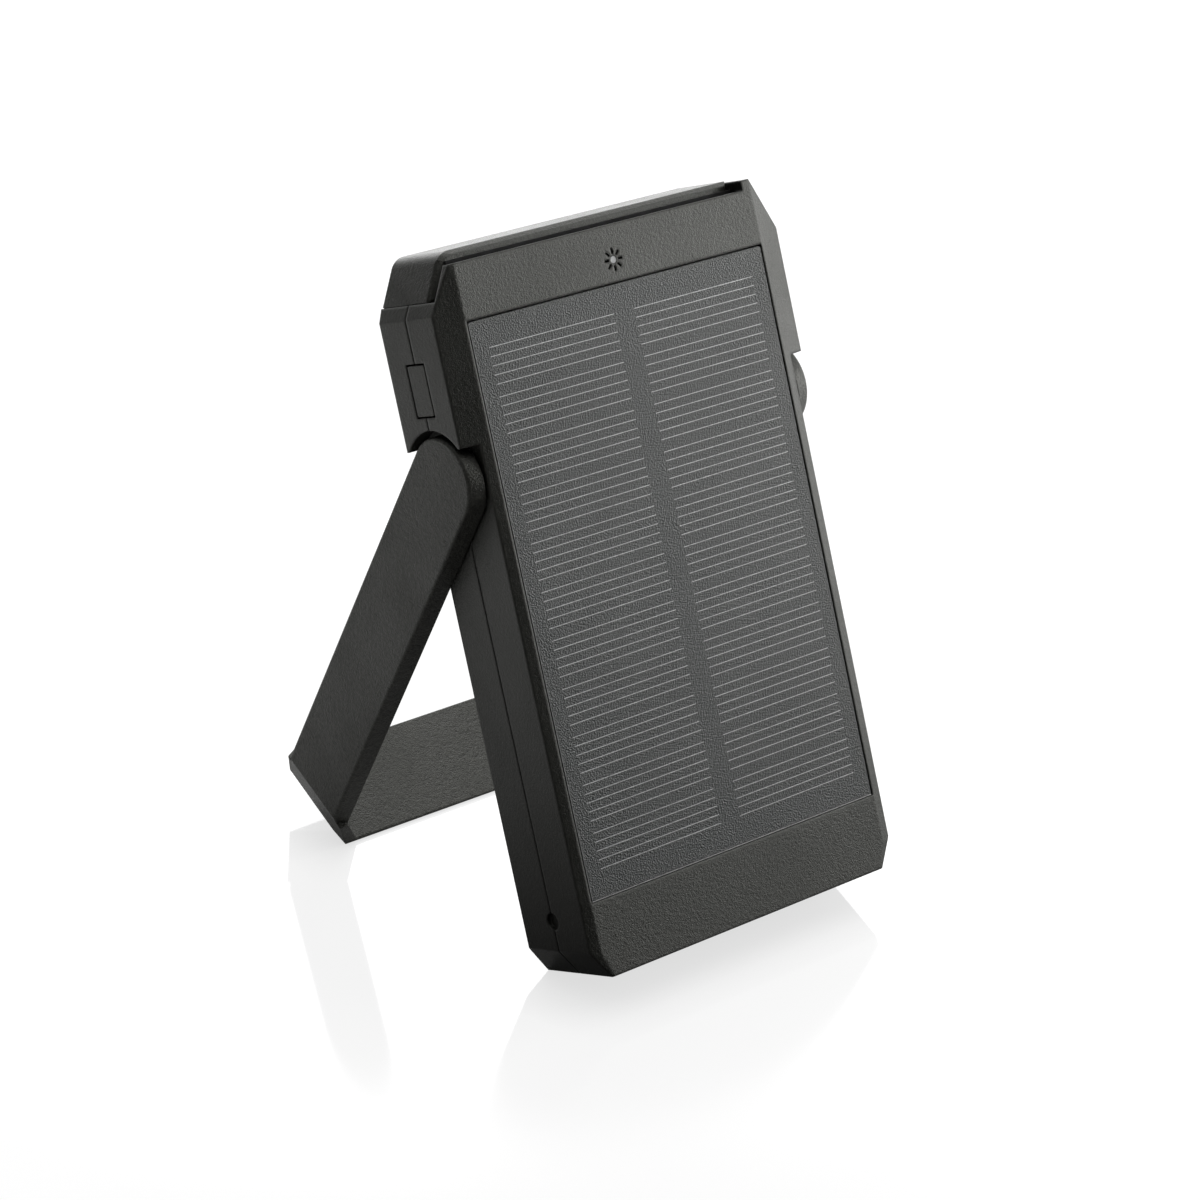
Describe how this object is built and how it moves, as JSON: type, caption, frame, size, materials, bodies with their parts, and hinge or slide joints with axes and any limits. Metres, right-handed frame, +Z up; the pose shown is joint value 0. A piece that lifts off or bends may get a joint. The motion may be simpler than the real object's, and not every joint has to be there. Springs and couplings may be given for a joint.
{
  "type": "solar phone charger",
  "caption": "Slab-shaped solar power bank with shoulders, a rubber flap over its ports, a side button and a U-shaped fold-out stand it leans back on.",
  "frame": {"origin": "centre of the footprint on the surface the charger stands on, with the stand open", "axes": "+Z up; the solar face looks towards -Y and leans back towards +Y; +X runs from the side button's side to the flap's free end"},
  "size_m": [0.0814, 0.0982, 0.131],
  "materials": {
    "case_plastic": "fine-grained moulded plastic, matte",
    "stand_plastic": "fine-grained moulded plastic, matte",
    "button_plastic": "matte moulded plastic",
    "cover_rubber": "soft-touch rubber",
    "panel_film": "clear moulded film with an orange-peel surface over dark cells",
    "solar_cell": "dark blue-grey crystalline cell",
    "silver_print": "printed silver lines",
    "panel_board": "dark circuit-board backing",
    "circuit_board": "solder-mask green",
    "foam_tape": "closed-cell foam",
    "wire": "insulated wire",
    "clear_plastic": "clear light guide",
    "led_body": "white diode",
    "switch_plastic": "black switch housing",
    "screw_steel": "zinc-plated steel",
    "pin_steel": "hardened steel",
    "socket_metal": "nickel-plated shell",
    "tab_metal": "nickel-plated tab",
    "socket_plastic": "white insulator",
    "ferrite": "moulded inductor",
    "chip_plastic": "moulded chip",
    "capacitor_can": "aluminium can",
    "battery_foil": "aluminium-laminate pouch"
  },
  "bodies": {
    "case": {"front_shell": "case_plastic", "back_shell": "case_plastic", "case_screws": "screw_steel", "solar_film": "panel_film", "solar_cells": "solar_cell", "cell_fingers": "silver_print", "panel_backing": "panel_board", "panel_tape": "foam_tape", "panel_leads": "wire", "light_guide": "clear_plastic", "charge_led": "led_body", "push_switch": "switch_plastic", "main_board": "circuit_board", "board_screws": "screw_steel", "usb_a_sockets": "socket_metal", "usb_a_tongues": "socket_plastic", "micro_usb_socket": "socket_metal", "power_inductor": "ferrite", "control_chips": "chip_plastic", "capacitors": "capacitor_can", "battery_cells": "battery_foil", "battery_pads": "foam_tape", "battery_leads": "tab_metal"},
    "stand": {"stand": "stand_plastic", "hinge_pins": "pin_steel", "friction_washers": "pin_steel", "retaining_rings": "pin_steel"},
    "cover": {"port_cover": "cover_rubber"},
    "button": {"side_button": "button_plastic", "switch_stem": "switch_plastic"}
  },
  "joints": [
    {"name": "stand_hinge", "type": "hinge", "parent": "case", "child": "stand", "pos_m": [0, -0.00411, 0.09048], "axis": [1, 0, 0], "range_deg": [-48.1, 14]},
    {"name": "cover_hinge", "type": "hinge", "parent": "case", "child": "cover", "pos_m": [-0.0392, 0.00813, 0.12015], "axis": [0, -0.9243, 0.3816], "range_deg": [0, 110]},
    {"name": "button_press", "type": "slide", "parent": "case", "child": "button", "axis": [1, 0, 0], "range_m": [0, 0.0005], "stiffness_N_per_m": 3000}
  ]
}
